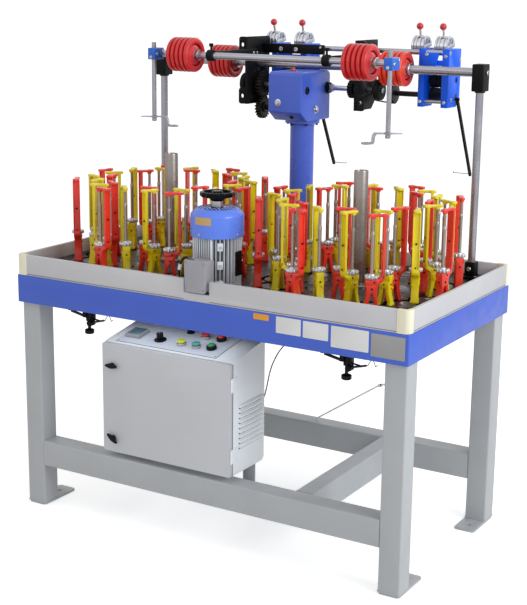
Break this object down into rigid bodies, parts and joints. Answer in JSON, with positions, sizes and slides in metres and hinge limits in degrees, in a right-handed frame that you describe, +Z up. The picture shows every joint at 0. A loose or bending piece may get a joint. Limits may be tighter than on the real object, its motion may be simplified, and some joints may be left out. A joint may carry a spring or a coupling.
{
  "type": "cord braiding machine",
  "caption": "Floor-standing two-head maypole cord braider with carrier rings, overhead grooved pulleys, nip take-up units and a control cabinet.",
  "frame": {"origin": "on the floor under the middle of the table, centre of the four anchor holes", "axes": "+X along the row of heads, +Y to the rear (take-up side), +Z up; the operator stands at -Y"},
  "size_m": [1.6, 1.07, 1.8322],
  "materials": {
    "frame_grey": "satin",
    "apron_blue": "gloss",
    "deck_steel": "brushed",
    "tray_aluminium": "brushed",
    "cream_plastic": "matte",
    "gear_iron": "machined",
    "carrier_red": "gloss",
    "carrier_yellow": "gloss",
    "bright_steel": "polished",
    "chrome": "polished",
    "motor_grey": "satin",
    "cover_blue": "gloss",
    "black_plastic": "gloss",
    "black_oxide": "satin",
    "belt_rubber": "matte",
    "pulley_red": "gloss",
    "clamp_blue": "gloss",
    "nip_blue": "gloss",
    "cabinet_white": "satin",
    "lamp_green": "gloss",
    "button_yellow": "gloss",
    "button_green": "gloss",
    "button_red": "gloss"
  },
  "bodies": {
    "root": {"legs": "frame_grey", "foot_plates": "frame_grey", "rails": "frame_grey", "apron_panels": "apron_blue", "bed_plate": "deck_steel", "tray_walls": "tray_aluminium", "tray_corners": "cream_plastic", "track_plate": "deck_steel", "horn_gears": "gear_iron", "red_carriers": "carrier_red", "yellow_carriers": "carrier_yellow", "carrier_spindles": "bright_steel", "centre_tubes": "bright_steel", "motor_body": "motor_grey", "fan_cover": "cover_blue", "terminal_box": "motor_grey", "column": "frame_grey", "gearbox": "apron_blue", "posts": "bright_steel", "post_fittings": "black_oxide", "cross_bars": "bright_steel", "side_brackets": "black_oxide", "drive_belts": "belt_rubber", "guide_clamps": "clamp_blue", "guide_rods": "bright_steel", "nip_side_plates": "nip_blue", "core_tensioners": "black_oxide", "cabinet_body": "cabinet_white", "door_hinges": "bright_steel", "cabinet_brackets": "frame_grey", "control_panel": "tray_aluminium", "pilot_lamps": "lamp_green"},
    "motor_rotor": {"motor_shaft": "bright_steel", "cooling_fan": "black_plastic", "handwheel": "black_plastic"},
    "cross_shaft": {"cross_shaft": "bright_steel", "upper_change_gear": "black_oxide"},
    "lower_gear": {"lower_change_gear": "black_oxide"},
    "driven_rollers": {"driven_rollers": "black_oxide"},
    "press_rollers": {"press_rollers": "belt_rubber"},
    "front_pulley_left": {"front_pulley_left": "pulley_red"},
    "front_pulley_right": {"front_pulley_right": "pulley_red"},
    "rear_pulley_left": {"rear_pulley_left": "pulley_red"},
    "rear_pulley_right": {"rear_pulley_right": "pulley_red"},
    "guide_arm_left": {"guide_arm_left": "bright_steel"},
    "guide_arm_right": {"guide_arm_right": "bright_steel"},
    "cam_left_outer": {"cam_lever_left_outer": "chrome"},
    "cam_left_inner": {"cam_lever_left_inner": "chrome"},
    "cam_right_outer": {"cam_lever_right_outer": "chrome"},
    "cam_right_inner": {"cam_lever_right_inner": "chrome"},
    "stop_arm_left": {"stop_arm_left": "black_oxide"},
    "stop_arm_right": {"stop_arm_right": "black_oxide"},
    "door": {"cabinet_door": "cabinet_white"},
    "latch_lower": {"latch_lower": "black_plastic"},
    "latch_upper": {"latch_upper": "black_plastic"},
    "speed_knob": {"speed_knob": "black_plastic"},
    "mode_selector": {"mode_selector": "black_plastic"},
    "jog_button": {"jog_button": "button_yellow"},
    "start_button": {"start_button": "button_green"},
    "stop_button": {"stop_button": "button_red"}
  },
  "joints": [
    {"name": "handwheel_turn", "type": "hinge", "parent": "root", "child": "motor_rotor", "pos_m": [0, -0.298, 1.189], "axis": [0, 0, 1], "continuous": true},
    {"name": "cross_shaft_turn", "type": "hinge", "parent": "root", "child": "cross_shaft", "pos_m": [0, 0.352, 1.587], "axis": [1, 0, 0], "continuous": true},
    {"name": "lower_gear_turn", "type": "hinge", "parent": "root", "child": "lower_gear", "pos_m": [-0.2, 0.352, 1.499], "axis": [1, 0, 0], "continuous": true},
    {"name": "driven_rollers_turn", "type": "hinge", "parent": "root", "child": "driven_rollers", "pos_m": [0, 0.47, 1.57], "axis": [1, 0, 0], "continuous": true},
    {"name": "press_rollers_turn", "type": "hinge", "parent": "root", "child": "press_rollers", "pos_m": [0, 0.47, 1.6284], "axis": [1, 0, 0], "continuous": true},
    {"name": "front_pulley_left_turn", "type": "hinge", "parent": "root", "child": "front_pulley_left", "pos_m": [-0.335, 0, 1.708], "axis": [1, 0, 0], "continuous": true},
    {"name": "front_pulley_right_turn", "type": "hinge", "parent": "root", "child": "front_pulley_right", "pos_m": [0.386, 0, 1.708], "axis": [1, 0, 0], "continuous": true},
    {"name": "rear_pulley_left_turn", "type": "hinge", "parent": "root", "child": "rear_pulley_left", "pos_m": [-0.385, 0.353, 1.668], "axis": [1, 0, 0], "continuous": true},
    {"name": "rear_pulley_right_turn", "type": "hinge", "parent": "root", "child": "rear_pulley_right", "pos_m": [0.35, 0.353, 1.668], "axis": [1, 0, 0], "continuous": true},
    {"name": "guide_arm_left_swing", "type": "hinge", "parent": "root", "child": "guide_arm_left", "pos_m": [-0.457, -0.028, 1.48], "axis": [0, 0, 1], "range_deg": [-60, 60]},
    {"name": "guide_arm_right_swing", "type": "hinge", "parent": "root", "child": "guide_arm_right", "pos_m": [0.51, -0.028, 1.48], "axis": [0, 0, 1], "range_deg": [-60, 60]},
    {"name": "cam_left_outer_throw", "type": "hinge", "parent": "root", "child": "cam_left_outer", "pos_m": [0, 0.47, 1.748], "axis": [1, 0, 0], "range_deg": [-80, 0]},
    {"name": "cam_left_inner_throw", "type": "hinge", "parent": "root", "child": "cam_left_inner", "pos_m": [0, 0.47, 1.748], "axis": [1, 0, 0], "range_deg": [-80, 0]},
    {"name": "cam_right_outer_throw", "type": "hinge", "parent": "root", "child": "cam_right_outer", "pos_m": [0, 0.47, 1.748], "axis": [1, 0, 0], "range_deg": [-80, 0]},
    {"name": "cam_right_inner_throw", "type": "hinge", "parent": "root", "child": "cam_right_inner", "pos_m": [0, 0.47, 1.748], "axis": [1, 0, 0], "range_deg": [-80, 0]},
    {"name": "stop_arm_left_swing", "type": "hinge", "parent": "root", "child": "stop_arm_left", "pos_m": [0, 0.467, 1.56], "axis": [1, 0, 0], "range_deg": [-15, 15]},
    {"name": "stop_arm_right_swing", "type": "hinge", "parent": "root", "child": "stop_arm_right", "pos_m": [0, 0.467, 1.56], "axis": [1, 0, 0], "range_deg": [-15, 15]},
    {"name": "door_swing", "type": "hinge", "parent": "root", "child": "door", "pos_m": [0.13, -0.404, 0.48], "axis": [0, 0, 1], "range_deg": [0, 110]},
    {"name": "latch_lower_turn", "type": "hinge", "parent": "door", "child": "latch_lower", "pos_m": [-0.377, -0.41, 0.337], "axis": [0, 1, 0], "range_deg": [0, 90]},
    {"name": "latch_upper_turn", "type": "hinge", "parent": "door", "child": "latch_upper", "pos_m": [-0.377, -0.41, 0.613], "axis": [0, 1, 0], "range_deg": [0, 90]},
    {"name": "speed_knob_turn", "type": "hinge", "parent": "root", "child": "speed_knob", "pos_m": [-0.227, -0.32137, 0.70863], "axis": [0, -0.1736, 0.9848], "range_deg": [-140, 140]},
    {"name": "mode_selector_turn", "type": "hinge", "parent": "root", "child": "mode_selector", "pos_m": [-0.158, -0.22683, 0.7253], "axis": [0, -0.1736, 0.9848], "range_deg": [-45, 45]},
    {"name": "jog_button_press", "type": "slide", "parent": "root", "child": "jog_button", "axis": [0, 0.1736, -0.9848], "range_m": [0, 0.004], "stiffness_N_per_m": 400},
    {"name": "start_button_press", "type": "slide", "parent": "root", "child": "start_button", "axis": [0, 0.1736, -0.9848], "range_m": [0, 0.004], "stiffness_N_per_m": 400},
    {"name": "stop_button_press", "type": "slide", "parent": "root", "child": "stop_button", "axis": [0, 0.1736, -0.9848], "range_m": [0, 0.004], "stiffness_N_per_m": 400}
  ],
  "couplings": [
    {"joint": "cross_shaft_turn", "follows": "handwheel_turn", "ratio": 0.05},
    {"joint": "lower_gear_turn", "follows": "handwheel_turn", "ratio": -0.06},
    {"joint": "driven_rollers_turn", "follows": "handwheel_turn", "ratio": 0.05},
    {"joint": "press_rollers_turn", "follows": "handwheel_turn", "ratio": -0.046667}
  ]
}
